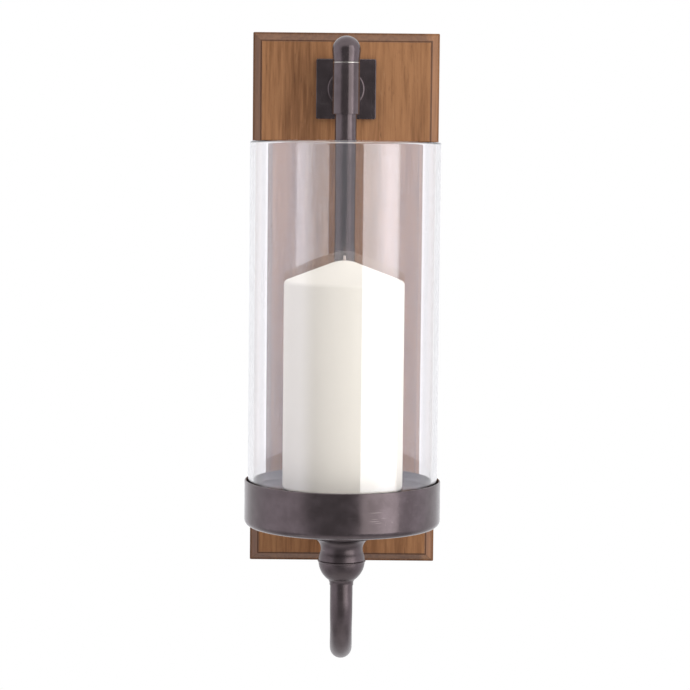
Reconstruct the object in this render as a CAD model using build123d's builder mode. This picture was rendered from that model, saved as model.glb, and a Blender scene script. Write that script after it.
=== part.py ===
"""Wall sconce for a pillar candle. All sizes are in millimetres.

A moulded hardwood backboard carries a square wall plate. An arm on the plate ends in an upright
sleeve. A hooked rod hangs in the sleeve from its finial and swivels there. It drops behind the
candle, turns up under it in a U, and carries a round tray on a turned knuckle. A glass cylinder
and a pillar candle stand loose in the tray.

Origin: the centre of the backboard's back face, against the wall.
+X is to the right, +Y is into the wall and +Z is up.
"""

import os
from math import asin, atan, cos, degrees, radians, sin, sqrt, tan

from build123d import *

# ------------------------------------------------------------------ backboard
board_width = 125.0
board_height = 357.0
board_thickness = 18.0
board_corner_radius = 0.8
lip_width = 1.0  # flat left round the outside of the moulding
moulding_width = 6.0  # from the board's outline in to the raised field
moulding_depth = 6.0  # from the raised field back to the lip
quirk_width = 0.8  # small step between the sloping face and the field
quirk_depth = 0.8

# ------------------------------------------------------------------ wall plate and its bolts
bracket_drop = 37.5  # board's top edge to the centre of the plate, the arm and the sleeve
plate_size = 40.0
plate_thickness = 3.5
plate_edge_bevel = 0.6
bolt_spacing = 28.0  # square pattern behind the plate
bolt_radius = 2.0
bolt_hole_clearance = 0.2
bolt_engagement = 2.8  # threads in the plate
bolt_tip_clearance = 0.2
bolt_head_radius = 4.0
bolt_head_height = 2.6
bolt_head_round = 0.9
bolt_socket_radius = 1.45  # across the corners of the hexagon socket, halved
bolt_socket_depth = 1.4
bolt_washer_radius = 4.6
bolt_washer_thickness = 0.8
counterbore_clearance = 0.8  # round the washer
counterbore_depth = 6.0

# ------------------------------------------------------------------ keyhole hangers
hanger_drop = 86.5  # board's top edge to the upper entry hole
hanger_rise = 50.5  # board's bottom edge to the lower entry hole
hanger_width = 16.0
hanger_end_margin = 4.5  # beyond each screw
hanger_thickness = 1.5
hanger_corner_radius = 2.0
hanger_recess_clearance = 0.15
keyhole_entry_radius = 4.75
keyhole_slot_radius = 2.4
keyhole_rise = 9.0
keyhole_pocket_clearance = 1.75  # wider than the entry hole, all round
keyhole_pocket_depth = 8.0
hanger_screw_spacing = 35.0
hanger_screw_radius = 1.6
hanger_screw_head_radius = 3.0
hanger_screw_length = 13.0
hanger_screw_point = 3.0
hanger_screw_tip_radius = 0.3

# ------------------------------------------------------------------ arm and sleeve
swivel_standoff = 50.0  # wall to the swivel axis
arm_radius = 6.0
collar_width = 6.5  # beyond the arm, all round
collar_thickness = 4.0
collar_edge_round = 1.2
rod_radius = 7.2
swivel_clearance = 0.08
sleeve_wall = 1.6
sleeve_length = 33.4
sleeve_edge_round = 0.4
thrust_washer_thickness = 0.8
thrust_washer_setback = 0.08  # inside the sleeve's outline
thrust_clearance = 0.05

# ------------------------------------------------------------------ finial
finial_overhang = 0.57  # beyond the sleeve, all round
finial_taper_length = 7.5
finial_base_round = 0.4
stud_radius = 4.0
stud_length = 8.0
stud_end_clearance = 0.5

# ------------------------------------------------------------------ hook and knuckle
tray_rod_gap = 6.6  # between the tray's wall and the rod behind it
front_leg_length = 9.5  # straight rod between the knuckle and the bend
socket_depth = 23.0
flange_step = 1.0  # flat left under the flange, outside the neck's curve
flange_thickness = 7.4
flange_edge_round = 2.0
neck_curve_radius = 7.5  # hollow from the flange, running smoothly on to the ball
ball_radius = 14.8
ball_drop = 22.7  # tray underside to the ball's centre
ball_bead_radius = 0.55
weld_wall = 0.4  # round the rod at the knuckle's lower end
weld_flare = 2.0
weld_curve_radius = 5.0
knuckle_length = 38.1

# ------------------------------------------------------------------ tray
tray_rise = 42.3  # board's bottom edge to the underside of the tray
tray_height = 29.2
tray_wall = 1.4
tray_floor = 1.6
tray_corner_radius = 4.5
tray_rim_round = 0.5
recess_depth = 5.5  # rim down to the platform
platform_thickness = 1.2
platform_clearance = 0.1
platform_edge_round = 0.4
tray_screw_radius = 3.0
tray_screw_clearance = 0.2
tray_screw_engagement = 10.0
tray_screw_tip_clearance = 1.0
tray_screw_head_radius = 5.5
tray_screw_head_height = 3.6
tray_screw_head_round = 1.2
tray_screw_slot_width = 1.4
tray_screw_slot_depth = 1.6
tray_washer_radius = 9.0
tray_washer_thickness = 1.6

# ------------------------------------------------------------------ glass and candle
glass_radius = 60.0
glass_wall = 3.0
glass_height = 220.0
glass_edge_round = 1.0
glass_gap = 0.8  # glass to the tray's wall, all round
candle_radius = 38.1
candle_height = 145.0
candle_cone_angle = 21.0
candle_tip_radius = 22.0
candle_shoulder_round = 3.0
candle_base_round = 2.5
wick_radius = 1.1
wick_stub = 3.0
wick_floor = 6.0  # wax left under the wick

# ------------------------------------------------------------------ places worked out from the sizes
bracket_height = board_height / 2 - bracket_drop
hanger_heights = (board_height / 2 - hanger_drop, hanger_rise - board_height / 2)
hanger_length = hanger_screw_spacing + 2 * hanger_end_margin
keyhole_pocket_radius = keyhole_entry_radius + keyhole_pocket_clearance
counterbore_radius = bolt_washer_radius + counterbore_clearance
plate_front = board_thickness + plate_thickness
collar_radius = arm_radius + collar_width
sleeve_radius = rod_radius + swivel_clearance + sleeve_wall
thrust_washer_radius = sleeve_radius - thrust_washer_setback
finial_base_radius = thrust_washer_radius
finial_radius = sleeve_radius + finial_overhang
sleeve_base_z = bracket_height - sleeve_length / 2
sleeve_top_z = bracket_height + sleeve_length / 2
finial_base_z = sleeve_top_z + thrust_washer_thickness + thrust_clearance
tray_inner_radius = glass_radius + glass_gap
tray_radius = tray_inner_radius + tray_wall
tray_reach = swivel_standoff + rod_radius + tray_rod_gap + tray_radius
tray_base_z = tray_rise - board_height / 2
tray_rim_z = tray_base_z + tray_height
platform_z = tray_rim_z - recess_depth
bend_radius = (tray_reach - swivel_standoff) / 2
neck_rise = ball_drop - flange_thickness - neck_curve_radius  # ball's centre to the neck's narrowest
neck_centre_radius = sqrt((ball_radius + neck_curve_radius) ** 2 - neck_rise**2)
flange_radius = neck_centre_radius + flange_step
weld_bottom_radius = rod_radius + weld_wall
weld_top_radius = weld_bottom_radius + weld_flare
knuckle_base_z = tray_base_z - knuckle_length
bend_centre_z = knuckle_base_z - front_leg_length
socket_top_z = knuckle_base_z + socket_depth

swivel_axis = Axis((0, -swivel_standoff, 0), (0, 0, 1))
tray_axis = Axis((0, -tray_reach, 0), (0, 0, 1))


def upright_plane(reach):
    """Vertical plane through an upright axis: local x is the radius, local y is the height."""
    return Plane(origin=(0, -reach, 0), x_dir=(1, 0, 0), z_dir=(0, -1, 0))


def back_plane(x=0.0, z=0.0, depth=0.0):
    """Plane facing the wall, at a depth inside the board: local y is +Z."""
    return Plane(origin=(x, -depth, z), x_dir=(-1, 0, 0), z_dir=(0, 1, 0))


def front_plane(depth):
    """Plane facing the room, at a distance from the wall: local x is +X and local y is +Z."""
    return Plane(origin=(0, -depth, 0), x_dir=(1, 0, 0), z_dir=(0, -1, 0))


def hanger_screw_places():
    """Centres of the hanger screws, as (x, z): one above and one below each keyhole."""
    return [
        (0.0, height + keyhole_rise / 2 + side * hanger_screw_spacing / 2)
        for height in hanger_heights
        for side in (1, -1)
    ]


def plate_bolt_places():
    """Centres of the plate bolts, as (x, z): a square about the bracket's centre."""
    half = bolt_spacing / 2
    return [(x, bracket_height + z) for x in (half, -half) for z in (half, -half)]


def save(piece, label):
    """Name the finished piece and write it to its own file."""
    piece.part.label = label
    export_step(piece.part, f"parts/{label}.step")


os.makedirs("parts", exist_ok=True)


# ------------------------------------------------------------------ backboard
moulding_run = moulding_width - lip_width - quirk_width
moulding_fall = moulding_depth - quirk_depth
slab_thickness = board_thickness - moulding_depth

with BuildPart() as backboard:
    with BuildSketch(front_plane(0)):
        Rectangle(board_width, board_height)
    extrude(amount=slab_thickness)
    fillet(backboard.edges().filter_by(Axis.Y), board_corner_radius)
    # the sloping face of the moulding
    with BuildSketch(front_plane(slab_thickness)):
        Rectangle(board_width - 2 * lip_width, board_height - 2 * lip_width)
    extrude(amount=moulding_fall, taper=degrees(atan(moulding_run / moulding_fall)))
    # the raised field
    with BuildSketch(front_plane(board_thickness - quirk_depth)):
        Rectangle(board_width - 2 * moulding_width, board_height - 2 * moulding_width)
    extrude(amount=quirk_depth)
    # recesses for the keyhole plates, and the pockets behind them for the wall screws' heads
    with BuildSketch(back_plane()):
        for hanger_height in hanger_heights:
            with Locations((0, hanger_height + keyhole_rise / 2)):
                RectangleRounded(
                    hanger_width + 2 * hanger_recess_clearance,
                    hanger_length + 2 * hanger_recess_clearance,
                    hanger_corner_radius,
                )
    extrude(amount=-hanger_thickness, mode=Mode.SUBTRACT)
    with BuildSketch(back_plane(depth=hanger_thickness)):
        for hanger_height in hanger_heights:
            with Locations((0, hanger_height + keyhole_rise / 2)):
                SlotCenterToCenter(keyhole_rise, 2 * keyhole_pocket_radius, rotation=90)
    extrude(amount=-keyhole_pocket_depth, mode=Mode.SUBTRACT)
    with Locations(*(back_plane(x, z) for x, z in hanger_screw_places())):
        Hole(hanger_screw_radius, depth=hanger_screw_length)
    # counterbored holes for the plate bolts
    with Locations(*(back_plane(x, z) for x, z in plate_bolt_places())):
        CounterBoreHole(
            bolt_radius + bolt_hole_clearance,
            counterbore_radius,
            counterbore_depth,
            depth=board_thickness,
        )
save(backboard, "backboard")


# ------------------------------------------------------------------ wall plate
with BuildPart() as wall_plate:
    with BuildSketch(front_plane(board_thickness)):
        with Locations((0, bracket_height)):
            Rectangle(plate_size, plate_size)
    extrude(amount=plate_thickness)
    chamfer(wall_plate.faces().sort_by(Axis.Y)[0].edges(), plate_edge_bevel)
    with Locations(*(back_plane(x, z, board_thickness) for x, z in plate_bolt_places())):
        Hole(bolt_radius, depth=bolt_engagement + bolt_tip_clearance)
save(wall_plate, "wall_plate")

bolt_length = board_thickness - counterbore_depth + bolt_washer_thickness + bolt_engagement
bolt_seat_depth = counterbore_depth - bolt_washer_thickness

with BuildPart() as plate_bolts:
    with Locations(*(back_plane(x, z, bolt_seat_depth) for x, z in plate_bolt_places())):
        Cylinder(bolt_head_radius, bolt_head_height, align=(Align.CENTER, Align.CENTER, Align.MIN))
    fillet(plate_bolts.faces().group_by(Axis.Y)[-1].edges(), bolt_head_round)
    with Locations(*(back_plane(x, z, bolt_seat_depth) for x, z in plate_bolt_places())):
        Cylinder(bolt_radius, bolt_length, align=(Align.CENTER, Align.CENTER, Align.MAX))
    with BuildSketch(back_plane(depth=bolt_seat_depth - bolt_head_height)):
        with Locations(*((-x, z) for x, z in plate_bolt_places())):
            RegularPolygon(bolt_socket_radius, 6)
    extrude(amount=-bolt_socket_depth, mode=Mode.SUBTRACT)
save(plate_bolts, "plate_bolts")

with BuildPart() as plate_bolt_washers:
    with BuildSketch(back_plane(depth=counterbore_depth)):
        with Locations(*((-x, z) for x, z in plate_bolt_places())):
            Circle(bolt_washer_radius)
            Circle(bolt_radius + bolt_hole_clearance, mode=Mode.SUBTRACT)
    extrude(amount=bolt_washer_thickness)
save(plate_bolt_washers, "plate_bolt_washers")


# ------------------------------------------------------------------ keyhole hangers
def hanger_plate(height, label):
    """Keyhole plate let in flush with the board's back; its slot rises from the entry hole."""
    with BuildPart() as plate:
        with BuildSketch(back_plane()):
            with Locations((0, height + keyhole_rise / 2)):
                RectangleRounded(hanger_width, hanger_length, hanger_corner_radius)
                SlotCenterToCenter(
                    keyhole_rise, 2 * keyhole_slot_radius, rotation=90, mode=Mode.SUBTRACT
                )
            with Locations((0, height)):
                Circle(keyhole_entry_radius, mode=Mode.SUBTRACT)
        extrude(amount=-hanger_thickness)
        screw_centre = height + keyhole_rise / 2
        screw_half = hanger_screw_spacing / 2
        for z in (screw_centre + screw_half, screw_centre - screw_half):
            with Locations(back_plane(0, z)):
                Cone(
                    hanger_screw_radius,
                    hanger_screw_head_radius,
                    hanger_thickness,
                    align=(Align.CENTER, Align.CENTER, Align.MAX),
                    mode=Mode.SUBTRACT,
                )
    save(plate, label)


for hanger_height, hanger_label in zip(hanger_heights, ("hanger_plate_upper", "hanger_plate_lower")):
    hanger_plate(hanger_height, hanger_label)

hanger_shank_length = hanger_screw_length - hanger_screw_point

with BuildPart() as hanger_screws:
    with Locations(*(back_plane(x, z) for x, z in hanger_screw_places())):
        Cone(
            hanger_screw_radius,
            hanger_screw_head_radius,
            hanger_thickness,
            align=(Align.CENTER, Align.CENTER, Align.MAX),
        )
        Cylinder(
            hanger_screw_radius,
            hanger_shank_length,
            align=(Align.CENTER, Align.CENTER, Align.MAX),
        )
    with Locations(*(back_plane(x, z, hanger_shank_length) for x, z in hanger_screw_places())):
        Cone(
            hanger_screw_tip_radius,
            hanger_screw_radius,
            hanger_screw_point,
            align=(Align.CENTER, Align.CENTER, Align.MAX),
        )
save(hanger_screws, "hanger_screws")


# ------------------------------------------------------------------ arm, collar and sleeve
with BuildPart() as arm:
    with BuildSketch(front_plane(plate_front)):
        with Locations((0, bracket_height)):
            Circle(arm_radius)
    extrude(amount=swivel_standoff - plate_front)
    # the coped end that fits round the sleeve
    with BuildSketch(Plane.XY.offset(sleeve_base_z)):
        with Locations((0, -swivel_standoff)):
            Circle(sleeve_radius)
    extrude(amount=sleeve_length, mode=Mode.SUBTRACT)
save(arm, "arm")

with BuildPart() as arm_collar:
    with BuildSketch(front_plane(plate_front)):
        with Locations((0, bracket_height)):
            Circle(collar_radius)
            Circle(arm_radius, mode=Mode.SUBTRACT)
    extrude(amount=collar_thickness)
    fillet(
        arm_collar.edges().filter_by(GeomType.CIRCLE).group_by(SortBy.RADIUS)[-1].sort_by(Axis.Y)[0],
        collar_edge_round,
    )
save(arm_collar, "arm_collar")

with BuildPart() as sleeve:
    with BuildSketch(Plane.XY.offset(sleeve_base_z)):
        with Locations((0, -swivel_standoff)):
            Circle(sleeve_radius)
            Circle(rod_radius + swivel_clearance, mode=Mode.SUBTRACT)
    extrude(amount=sleeve_length)
    fillet(
        sleeve.edges().filter_by(GeomType.CIRCLE).group_by(SortBy.RADIUS)[-1],
        sleeve_edge_round,
    )
save(sleeve, "sleeve")

with BuildPart() as thrust_washer:
    with BuildSketch(Plane.XY.offset(sleeve_top_z)):
        with Locations((0, -swivel_standoff)):
            Circle(thrust_washer_radius)
            Circle(rod_radius + swivel_clearance, mode=Mode.SUBTRACT)
    extrude(amount=thrust_washer_thickness)
save(thrust_washer, "thrust_washer")


# ------------------------------------------------------------------ finial
with BuildPart() as finial:
    with BuildSketch(upright_plane(swivel_standoff)):
        with BuildLine():
            dome_base_z = finial_base_z + finial_taper_length
            side = Polyline(
                (0, finial_base_z), (finial_base_radius, finial_base_z), (finial_radius, dome_base_z)
            )
            dome = CenterArc((0, dome_base_z), finial_radius, 0, 90)
            Line(dome @ 1, side @ 0)
        make_face()
    revolve(axis=swivel_axis)
    fillet(finial.faces().sort_by(Axis.Z)[0].edges(), finial_base_round)
    with BuildSketch(Plane.XY.offset(finial_base_z)):
        with Locations((0, -swivel_standoff)):
            Circle(stud_radius)
    extrude(amount=stud_length + stud_end_clearance, mode=Mode.SUBTRACT)
save(finial, "finial")


# ------------------------------------------------------------------ hooked rod
with BuildPart() as hook_rod:
    with BuildLine(Plane.YZ):
        back_leg = Line((-swivel_standoff, finial_base_z), (-swivel_standoff, bend_centre_z))
        bend = CenterArc((-swivel_standoff - bend_radius, bend_centre_z), bend_radius, 0, -180)
        Line(bend @ 1, (-tray_reach, socket_top_z))
    with BuildSketch(Plane.XY.offset(finial_base_z)):
        with Locations((0, -swivel_standoff)):
            Circle(rod_radius)
    sweep()
    # threaded stud that the finial screws on to
    with BuildSketch(Plane.XY.offset(finial_base_z)):
        with Locations((0, -swivel_standoff)):
            Circle(stud_radius)
    extrude(amount=stud_length)
save(hook_rod, "hook_rod")


# ------------------------------------------------------------------ knuckle
flange_base_z = tray_base_z - flange_thickness
ball_centre_z = tray_base_z - ball_drop
ball_start_angle = degrees(atan(neck_rise / neck_centre_radius))
ball_end_angle = -degrees(asin(sqrt(ball_radius**2 - weld_top_radius**2) / ball_radius))

with BuildPart() as knuckle:
    with BuildSketch(upright_plane(tray_reach)):
        with BuildLine():
            flange = Polyline(
                (0, tray_base_z),
                (flange_radius, tray_base_z),
                (flange_radius, flange_base_z),
                (neck_centre_radius, flange_base_z),
            )
            CenterArc(
                (neck_centre_radius, flange_base_z - neck_curve_radius),
                neck_curve_radius,
                90,
                90 + ball_start_angle,
            )
            ball = CenterArc(
                (0, ball_centre_z), ball_radius, ball_start_angle, ball_end_angle - ball_start_angle
            )
            weld = RadiusArc(ball @ 1, (weld_bottom_radius, knuckle_base_z), weld_curve_radius)
            Polyline(weld @ 1, (0, knuckle_base_z), flange @ 0)
        make_face()
    revolve(axis=tray_axis)
    fillet(
        knuckle.edges().filter_by(GeomType.CIRCLE).group_by(SortBy.RADIUS)[-1],
        flange_edge_round,
    )
    # fine bead round the ball's middle
    with BuildSketch(upright_plane(tray_reach)):
        with Locations((ball_radius, ball_centre_z)):
            Circle(ball_bead_radius)
    revolve(axis=tray_axis)
    # socket for the rod, and the tapped hole for the tray screw
    with BuildSketch(Plane.XY.offset(knuckle_base_z)):
        with Locations((0, -tray_reach)):
            Circle(rod_radius)
    extrude(amount=socket_depth, mode=Mode.SUBTRACT)
    with BuildSketch(Plane.XY.offset(tray_base_z)):
        with Locations((0, -tray_reach)):
            Circle(tray_screw_radius)
    extrude(amount=-tray_screw_engagement - tray_screw_tip_clearance, mode=Mode.SUBTRACT)
save(knuckle, "knuckle")


# ------------------------------------------------------------------ tray
pan_floor_z = tray_base_z + tray_floor

with BuildPart() as tray_pan:
    with BuildSketch(upright_plane(tray_reach)):
        with BuildLine():
            Polyline(
                (0, tray_base_z),
                (tray_radius, tray_base_z),
                (tray_radius, tray_rim_z),
                (tray_inner_radius, tray_rim_z),
                (tray_inner_radius, pan_floor_z),
                (0, pan_floor_z),
                close=True,
            )
        make_face()
    revolve(axis=tray_axis)
    pan_circles = tray_pan.edges().filter_by(GeomType.CIRCLE).group_by(Axis.Z)
    fillet(pan_circles[0], tray_corner_radius)
    pan_circles = tray_pan.edges().filter_by(GeomType.CIRCLE).filter_by_position(
        Axis.Z, pan_floor_z, pan_floor_z
    ).group_by(SortBy.RADIUS)
    fillet(pan_circles[-1], tray_corner_radius - tray_wall)
    fillet(tray_pan.edges().filter_by(GeomType.CIRCLE).group_by(Axis.Z)[-1], tray_rim_round)
    with BuildSketch(Plane.XY.offset(tray_base_z)):
        with Locations((0, -tray_reach)):
            Circle(tray_screw_radius + tray_screw_clearance)
    extrude(amount=tray_floor, mode=Mode.SUBTRACT)
save(tray_pan, "tray_pan")

platform_radius = tray_inner_radius - platform_clearance
skirt_radius = tray_inner_radius - (tray_corner_radius - tray_wall) - platform_clearance
platform_under_z = platform_z - platform_thickness

with BuildPart() as tray_platform:
    with BuildSketch(upright_plane(tray_reach)):
        with BuildLine():
            Polyline(
                (0, platform_z),
                (platform_radius, platform_z),
                (platform_radius, platform_under_z),
                (skirt_radius, platform_under_z),
                (skirt_radius, pan_floor_z),
                (skirt_radius - platform_thickness, pan_floor_z),
                (skirt_radius - platform_thickness, platform_under_z),
                (0, platform_under_z),
                close=True,
            )
        make_face()
    revolve(axis=tray_axis)
    fillet(
        tray_platform.edges().filter_by(GeomType.CIRCLE).group_by(Axis.Z)[-1],
        platform_edge_round,
    )
save(tray_platform, "tray_platform")

with BuildPart() as tray_screw_washer:
    with BuildSketch(Plane.XY.offset(pan_floor_z)):
        with Locations((0, -tray_reach)):
            Circle(tray_washer_radius)
            Circle(tray_screw_radius + tray_screw_clearance, mode=Mode.SUBTRACT)
    extrude(amount=tray_washer_thickness)
save(tray_screw_washer, "tray_screw_washer")

screw_seat_z = pan_floor_z + tray_washer_thickness

with BuildPart() as tray_screw:
    with BuildSketch(Plane.XY.offset(screw_seat_z)):
        with Locations((0, -tray_reach)):
            Circle(tray_screw_head_radius)
    extrude(amount=tray_screw_head_height)
    fillet(tray_screw.faces().sort_by(Axis.Z)[-1].edges(), tray_screw_head_round)
    with BuildSketch(Plane.XY.offset(screw_seat_z)):
        with Locations((0, -tray_reach)):
            Circle(tray_screw_radius)
    extrude(amount=-tray_washer_thickness - tray_floor - tray_screw_engagement)
    with BuildSketch(Plane.XY.offset(screw_seat_z + tray_screw_head_height)):
        with Locations((0, -tray_reach)):
            Rectangle(2 * tray_screw_head_radius, tray_screw_slot_width)
    extrude(amount=-tray_screw_slot_depth, mode=Mode.SUBTRACT)
save(tray_screw, "tray_screw")


# ------------------------------------------------------------------ glass
with BuildPart() as glass_cylinder:
    with BuildSketch(Plane.XY.offset(platform_z)):
        with Locations((0, -tray_reach)):
            Circle(glass_radius)
            Circle(glass_radius - glass_wall, mode=Mode.SUBTRACT)
    extrude(amount=glass_height)
    fillet(glass_cylinder.edges().filter_by(GeomType.CIRCLE), glass_edge_round)
save(glass_cylinder, "glass_cylinder")


# ------------------------------------------------------------------ candle and wick
cone_angle = radians(candle_cone_angle)
candle_tip_z = platform_z + candle_height
tip_arc_edge = candle_tip_radius * sin(cone_angle)
tip_arc_drop = candle_tip_radius * (1 - cos(cone_angle))
shoulder_z = candle_tip_z - tip_arc_drop - (candle_radius - tip_arc_edge) * tan(cone_angle)

with BuildPart() as candle:
    with BuildSketch(upright_plane(tray_reach)):
        with BuildLine():
            side = Polyline(
                (0, platform_z),
                (candle_radius, platform_z),
                (candle_radius, shoulder_z),
                (tip_arc_edge, candle_tip_z - tip_arc_drop),
            )
            tip = RadiusArc(side @ 1, (0, candle_tip_z), -candle_tip_radius)
            Line(tip @ 1, side @ 0)
        make_face()
    revolve(axis=tray_axis)
    rim_circles = candle.edges().filter_by(GeomType.CIRCLE).group_by(SortBy.RADIUS)[-1]
    fillet(rim_circles.sort_by(Axis.Z)[-1], candle_shoulder_round)
    fillet(rim_circles.sort_by(Axis.Z)[0], candle_base_round)
    with BuildSketch(Plane.XY.offset(platform_z + wick_floor)):
        with Locations((0, -tray_reach)):
            Circle(wick_radius)
    extrude(amount=candle_height, mode=Mode.SUBTRACT)
save(candle, "candle")

with BuildPart() as wick:
    with BuildSketch(Plane.XY.offset(platform_z + wick_floor)):
        with Locations((0, -tray_reach)):
            Circle(wick_radius)
    extrude(amount=candle_height - wick_floor + wick_stub)
save(wick, "wick")
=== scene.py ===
"""Wall sconce for a pillar candle: the finished pieces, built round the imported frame.

Every length is in metres, in the frame's own axes: +X right, +Y into the wall, +Z up, with the
origin at the middle of the backboard's back.
"""

import math

import bpy
import numpy as np
from mathutils import Matrix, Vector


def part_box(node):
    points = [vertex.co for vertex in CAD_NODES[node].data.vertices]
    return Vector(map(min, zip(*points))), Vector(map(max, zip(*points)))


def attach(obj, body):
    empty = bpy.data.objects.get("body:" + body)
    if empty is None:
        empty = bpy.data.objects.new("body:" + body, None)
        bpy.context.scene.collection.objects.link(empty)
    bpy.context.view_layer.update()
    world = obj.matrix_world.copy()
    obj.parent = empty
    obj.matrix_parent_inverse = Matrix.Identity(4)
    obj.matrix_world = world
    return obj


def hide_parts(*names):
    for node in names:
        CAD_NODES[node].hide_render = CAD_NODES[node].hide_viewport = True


bl_info = {
    "name": "Pillar candle wall sconce",
    "version": (1, 0, 0),
    "blender": (4, 5, 0),
    "location": "View3D > Sidebar > Sconce",
    "description": "Turned, forged and moulded pieces of a wall sconce with a glass cylinder",
    "category": "Add Mesh",
}

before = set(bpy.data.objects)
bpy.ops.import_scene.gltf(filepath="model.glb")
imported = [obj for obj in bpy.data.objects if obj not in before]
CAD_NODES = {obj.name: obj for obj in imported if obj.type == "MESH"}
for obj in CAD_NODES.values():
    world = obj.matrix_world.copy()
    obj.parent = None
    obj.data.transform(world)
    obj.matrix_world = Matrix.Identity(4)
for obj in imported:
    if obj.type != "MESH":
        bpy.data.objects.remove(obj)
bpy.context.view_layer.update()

MM = 0.001
ROUND_SEGMENTS = 192  # facets round a large turned piece
SMALL_SEGMENTS = 96
KNUCKLE_SEGMENTS = 128
GLASS_SEGMENTS = 256
WICK_SEGMENTS = 36
SMOOTH_ANGLE = math.radians(32)

# hidden fits, as in the frame's solids. The stud's thread is extra: the solids have none.
WASHER_RADIUS = 4.6 * MM
COUNTERBORE_RADIUS = 5.4 * MM
COUNTERBORE_DEPTH = 6.0 * MM
BOLT_HOLE_RADIUS = 2.2 * MM
BOLT_HEAD_RADIUS = 4.0 * MM
BOLT_TAP_RADIUS = 2.0 * MM
BOLT_TAP_DEPTH = 3.0 * MM
HANGER_CLEARANCE = 0.15 * MM
HANGER_CORNER = 2 * MM
POCKET_HALF_WIDTH = 6.5 * MM
POCKET_HALF_HEIGHT = 11.0 * MM
POCKET_DEPTH = 8 * MM
PILOT_REACH = 17.5 * MM  # middle of a hanger to each of its screws
PILOT_RADIUS = 1.6 * MM
PILOT_DEPTH = 13 * MM
SWIVEL_CLEARANCE = 0.08 * MM
STUD_RADIUS = 4.0 * MM
STUD_BORE_DEPTH = 8.5 * MM
THREAD_PITCH = 1.25 * MM
THREAD_DEPTH = 0.35 * MM
SOCKET_DEPTH = 23.0 * MM  # rod into the knuckle
TAP_RADIUS = 3.0 * MM  # tray screw into the knuckle
TAP_DEPTH = 11.0 * MM
TRAY_BORE_RADIUS = 3.2 * MM
TRAY_FLOOR = 1.6 * MM
PLATFORM_THICKNESS = 1.2 * MM
PLATFORM_CLEARANCE = 0.1 * MM

WICK_RISE = 3.0 * MM  # candle's tip to the wick's end, in plain view


# ---- measures read from the frame
def span(node):
    """Lowest and highest corner of a CAD node, as arrays."""
    low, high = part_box(node)
    return np.array(low), np.array(high)


def axis_of(node):
    """The (x, y) of the upright axis that a turned node stands on."""
    low, high = span(node)
    return (low[:2] + high[:2]) / 2


def radius_of(node):
    """Half of a turned node's width."""
    low, high = span(node)
    return (high[0] - low[0]) / 2


# ---- curves in a plane
def arc(centre, radius, start, end, steps=14):
    """Circular arc: the centre plus radius times the cosine and sine of an angle in degrees that
    runs evenly from start to end."""
    angle = np.radians(np.linspace(start, end, steps))
    return np.array(centre) + radius * np.stack([np.cos(angle), np.sin(angle)], axis=1)


def rounded(corners, rounds, steps=7, closed=False):
    """Outline whose corners are arcs. Each arc starts before its corner by the radius times the
    tangent of half the turn, and turns evenly about a centre square to the run it leaves. One
    more point on each run, a little outside the arc, keeps the shading of the flats flat."""
    corners, rounds = np.array(corners, float), np.array(rounds, float)
    before = corners - np.roll(corners, 1, axis=0)
    after = np.roll(corners, -1, axis=0) - corners
    before_length = np.linalg.norm(before, axis=1, keepdims=True)
    after_length = np.linalg.norm(after, axis=1, keepdims=True)
    before, after = before / before_length, after / after_length
    turn = np.arctan2(
        before[:, 0] * after[:, 1] - before[:, 1] * after[:, 0], (before * after).sum(axis=1)
    )
    reach = (rounds * np.tan(np.abs(turn) / 2))[:, None]
    start = corners - before * reach
    to_centre = np.stack([-before[:, 1], before[:, 0]], axis=1) * np.sign(turn)[:, None]
    spoke = -to_centre * rounds[:, None]
    angle = turn[:, None] * np.linspace(0, 1, steps)
    turned_spoke = np.stack(
        [
            spoke[:, :1] * np.cos(angle) - spoke[:, 1:] * np.sin(angle),
            spoke[:, :1] * np.sin(angle) + spoke[:, 1:] * np.cos(angle),
        ],
        axis=2,
    )
    bends = (start + to_centre * rounds[:, None])[:, None, :] + turned_spoke
    lead_in = corners - before * np.minimum(1.35 * reach, (reach + before_length / 2) / 2)
    lead_out = corners + after * np.minimum(1.35 * reach, (reach + after_length / 2) / 2)
    points = np.concatenate([lead_in[:, None], bends, lead_out[:, None]], axis=1)
    points[rounds == 0] = corners[rounds == 0][:, None, :]
    points = points.reshape(-1, 2)
    gap = np.linalg.norm(points - np.roll(points, 1, axis=0), axis=1)
    keep = gap > 1e-7
    if not closed:
        keep[0] = True
    return points[keep]


def rounded_rectangles(half_width, half_height, radius, centre, spans=1, steps=6):
    """Rounded rectangles, one for each entry of the arrays half_width and half_height, anticlockwise
    from the right-hand side. A corner's points are its centre plus the radius times the cosine and
    sine of a quarter turn, and each straight run is cut evenly into spans."""
    half_width, half_height, radius = (
        np.atleast_1d(measure)[:, None] for measure in (half_width, half_height, radius)
    )
    quarter = np.arange(4)
    angle = (quarter[:, None] * 90 + np.linspace(0, 90, steps)).ravel()
    side_x = np.repeat([1, -1, -1, 1], steps)
    side_z = np.repeat([1, 1, -1, -1], steps)
    x = side_x * (half_width - radius) + radius * np.cos(np.radians(angle))
    z = side_z * (half_height - radius) + radius * np.sin(np.radians(angle))
    rings = np.stack([centre[0] + x, centre[1] + z], axis=2)
    on_corner = np.arange(4 * steps)
    on_run = (quarter[:, None] * steps + steps - 1 + np.linspace(0, 1, spans + 1)[1:-1]).ravel()
    place = np.sort(np.concatenate([on_corner, on_run]))
    whole = np.floor(place).astype(int)
    share = (place - whole)[None, :, None]
    return rings[:, whole] * (1 - share) + rings[:, (whole + 1) % (4 * steps)] * share


def round_turn(count):
    """Angles spread evenly round one turn, as a single row."""
    return np.linspace(0, 2 * np.pi, count, endpoint=False)[None, :]


def ring_section(inner, outer, low, high, rounds, **settings):
    """Closed outline of a ring's wall from its lower inner corner, outwards and up."""
    corners = [(inner, low), (outer, low), (outer, high), (inner, high)]
    return rounded(corners, rounds, closed=True, **settings)


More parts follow.
